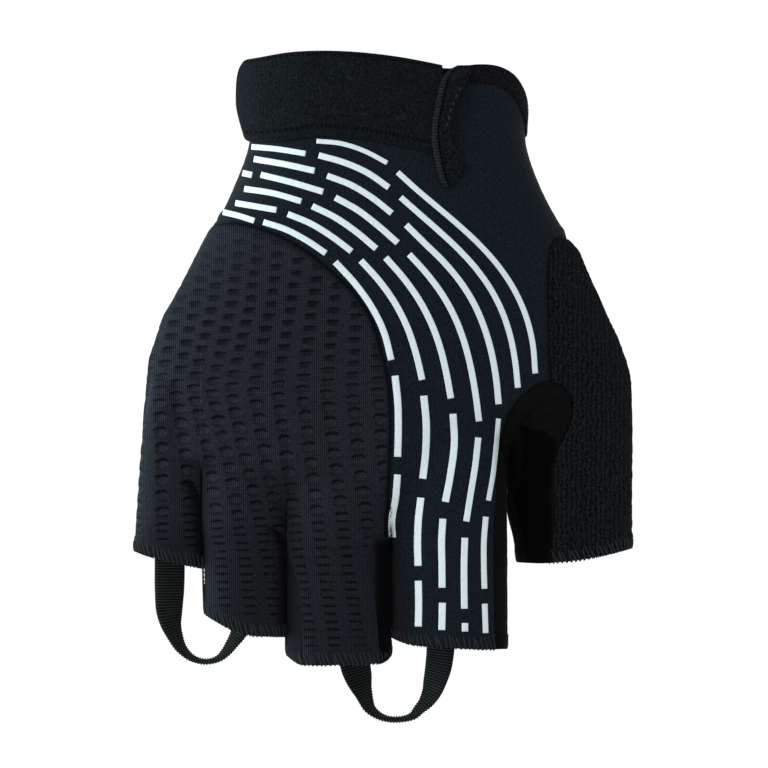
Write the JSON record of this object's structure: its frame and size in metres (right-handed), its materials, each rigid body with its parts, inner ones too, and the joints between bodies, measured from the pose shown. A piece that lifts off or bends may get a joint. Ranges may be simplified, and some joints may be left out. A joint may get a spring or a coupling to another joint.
{
  "type": "half-finger cycling glove",
  "caption": "Right-hand half-finger cycling glove, filled out as worn, with panelled cloth back, wrist strap, open cuff and webbing pull loops between the fingers.",
  "frame": {"origin": "centre of the wrist mouth at the height of its edge on the back of the hand, where the wrist goes in", "axes": "+X towards the thumb side, +Y towards the palm side, +Z out of the wrist mouth; the fingers point along -Z"},
  "size_m": [0.124, 0.0467, 0.1676],
  "materials": {
    "knit_mesh": "dimpled warp-knit mesh, soft satin",
    "printed_stretch": "smooth stretch knit with pale printed dashes",
    "terry": "rough matt terry",
    "palm_suede": "matt synthetic suede",
    "side_stretch": "smooth matt stretch knit",
    "edge_binding": "fine ribbed edge tape with stitching",
    "strap_pile": "short brushed pile, matt, stitched edge",
    "webbing": "ribbed woven tape"
  },
  "bodies": {
    "root": {"back_mesh_panel": "knit_mesh", "back_stripe_panel": "printed_stretch", "thumb_panel": "terry", "thumb_gusset": "side_stretch", "palm_panel": "palm_suede", "fourchette_little_ring": "side_stretch", "fourchette_ring_middle": "side_stretch", "fourchette_middle_index": "side_stretch", "cuff_binding": "edge_binding", "wrist_strap": "strap_pile", "pull_loop_little_ring": "webbing", "pull_loop_middle_index": "webbing"}
  },
  "joints": []
}
